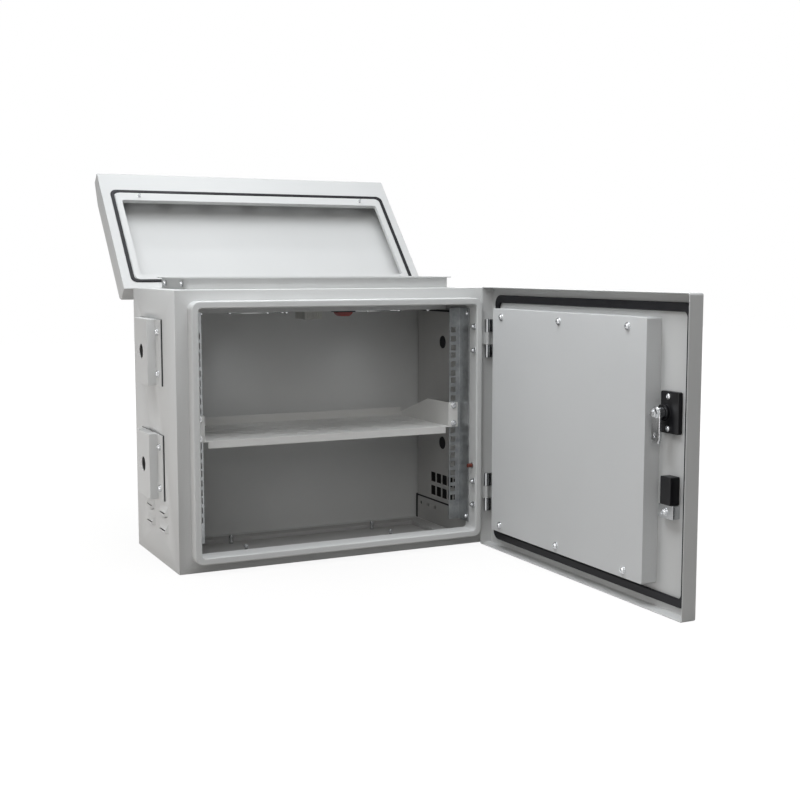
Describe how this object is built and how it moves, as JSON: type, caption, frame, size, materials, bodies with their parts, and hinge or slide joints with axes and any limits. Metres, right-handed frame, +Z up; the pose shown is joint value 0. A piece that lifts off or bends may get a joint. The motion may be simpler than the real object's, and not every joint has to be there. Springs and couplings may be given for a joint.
{
  "type": "pole-mounted outdoor cabinet",
  "caption": "Pole-mounted outdoor sheet-metal rack cabinet with hinged front door, tilting roof lid, vented shelf, fan tray and side brackets for clamping to a pole.",
  "frame": {"origin": "centre of the body's underside", "axes": "+Z up, -Y towards the open front, +X towards the door hinges"},
  "size_m": [0.5979, 1.0389, 0.6585],
  "materials": {
    "paint": "fine texture, semi-gloss",
    "zinc": "galvanised",
    "bright": "bright plated",
    "rubber": "matte",
    "filter": "fibre mat",
    "black_plastic": "satin",
    "grey_plastic": "matte",
    "red_plastic": "gloss"
  },
  "bodies": {
    "body": {"shell": "paint", "roof_upstand": "paint", "bracket_left_upper": "paint", "bracket_left_lower": "paint", "bracket_right_upper": "paint", "bracket_right_lower": "paint", "side_liner_left": "paint", "side_liner_right": "paint", "skirt_panels": "paint", "shelf": "paint", "gland_frame": "paint", "gland_plate": "paint", "fan_tray": "paint", "hinge_leaves": "paint", "lid_hinge_leaves": "paint", "rail_left": "zinc", "rail_right": "zinc", "bracket_screws": "bright", "rail_screws": "bright", "shelf_screws": "bright", "gland_studs": "bright", "fan_guards": "bright", "tray_screws": "bright", "earth_stud": "bright", "hinge_bolts": "bright", "bracket_pads": "rubber", "liner_seals": "rubber", "filter_mats": "filter", "fan_frame_left": "black_plastic", "fan_frame_right": "black_plastic", "switch_bezel": "black_plastic", "thermostat": "grey_plastic", "earth_cap": "red_plastic"},
    "door": {"door": "paint", "door_gasket": "rubber", "door_cover": "paint", "cover_screws": "bright", "door_knuckles": "bright", "hinge_pins": "bright", "escutcheon": "black_plastic", "lock_plate": "black_plastic", "lock_plate_screws": "bright", "lock_block": "black_plastic", "lock_clip": "bright"},
    "lock": {"spindle": "bright", "cam": "bright", "cam_bolt": "bright"},
    "lever": {"lever": "black_plastic", "lever_pin": "bright"},
    "lid": {"lid": "paint", "lid_ring": "paint", "lid_gasket": "rubber", "lid_screws": "bright", "lid_knuckles": "paint", "lid_pins": "bright"},
    "rocker": {"rocker": "red_plastic"},
    "dial": {"thermostat_dial": "grey_plastic"},
    "fan_left": {"rotor_left": "black_plastic"},
    "fan_right": {"rotor_right": "black_plastic"}
  },
  "joints": [
    {"name": "door_swing", "type": "hinge", "parent": "body", "child": "door", "pos_m": [0.272, -0.143, 0.225], "axis": [0, 0, 1], "range_deg": [-90, 8]},
    {"name": "lid_tilt", "type": "hinge", "parent": "body", "child": "lid", "pos_m": [0, 0.134, 0.449], "axis": [1, 0, 0], "range_deg": [0, 132]},
    {"name": "lock_turn", "type": "hinge", "parent": "door", "child": "lock", "pos_m": [0.29, -0.627, 0.284], "axis": [-1, 0, 0], "range_deg": [0, 90]},
    {"name": "lever_lift", "type": "hinge", "parent": "lock", "child": "lever", "pos_m": [0.2972, -0.625, 0.284], "axis": [0, 0, -1], "range_deg": [0, 40]},
    {"name": "rocker_tip", "type": "hinge", "parent": "body", "child": "rocker", "pos_m": [0.0425, -0.045, 0.408], "axis": [0, 1, 0], "range_deg": [-8, 8]},
    {"name": "thermostat_turn", "type": "hinge", "parent": "body", "child": "dial", "pos_m": [-0.017, -0.032, 0.398], "axis": [0, 0, 1], "range_deg": [-135, 135]},
    {"name": "fan_left_spin", "type": "hinge", "parent": "body", "child": "fan_left", "pos_m": [-0.11, 0.017, 0.426], "axis": [0, 0, 1], "continuous": true},
    {"name": "fan_right_spin", "type": "hinge", "parent": "body", "child": "fan_right", "pos_m": [0.11, 0.017, 0.426], "axis": [0, 0, 1], "continuous": true}
  ]
}
